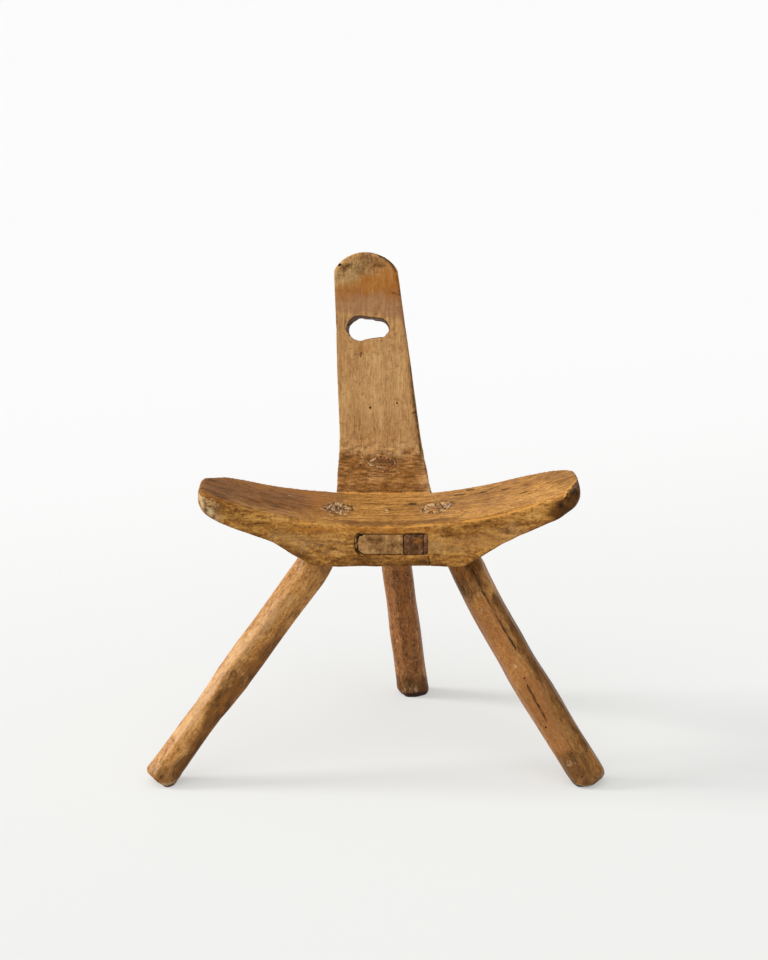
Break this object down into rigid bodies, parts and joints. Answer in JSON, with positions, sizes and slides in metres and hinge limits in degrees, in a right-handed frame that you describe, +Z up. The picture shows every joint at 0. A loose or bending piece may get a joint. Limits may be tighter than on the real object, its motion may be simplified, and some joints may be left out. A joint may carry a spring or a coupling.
{
  "type": "stool",
  "caption": "Rustic wooden stool with a hollowed seat, splayed staked legs and a naturally bent back with an oval hand hole, joined by wedged through tenons.",
  "frame": {"origin": "on the floor under the middle of the stool's box", "axes": "+Z up, +X to the right of someone who looks at the stool's front, -Y to the front where the sitter's knees are"},
  "size_m": [0.6176, 0.4807, 0.664],
  "materials": {
    "seat_wood": "aged wax, satin",
    "back_wood": "aged wax, satin",
    "leg_wood": "aged wax, satin",
    "rear_leg_wood": "aged wax, satin",
    "wedge_wood": "aged wax, satin",
    "leg_wedge_wood": "worn, matt"
  },
  "bodies": {
    "root": {"seat": "seat_wood", "back_post": "back_wood", "tenon_wedge": "wedge_wood", "tenon_slip": "wedge_wood", "leg_left": "leg_wood", "leg_right": "leg_wood", "leg_rear": "rear_leg_wood", "leg_left_wedge": "leg_wedge_wood", "leg_right_wedge": "leg_wedge_wood", "leg_rear_wedge": "leg_wedge_wood"}
  },
  "joints": []
}
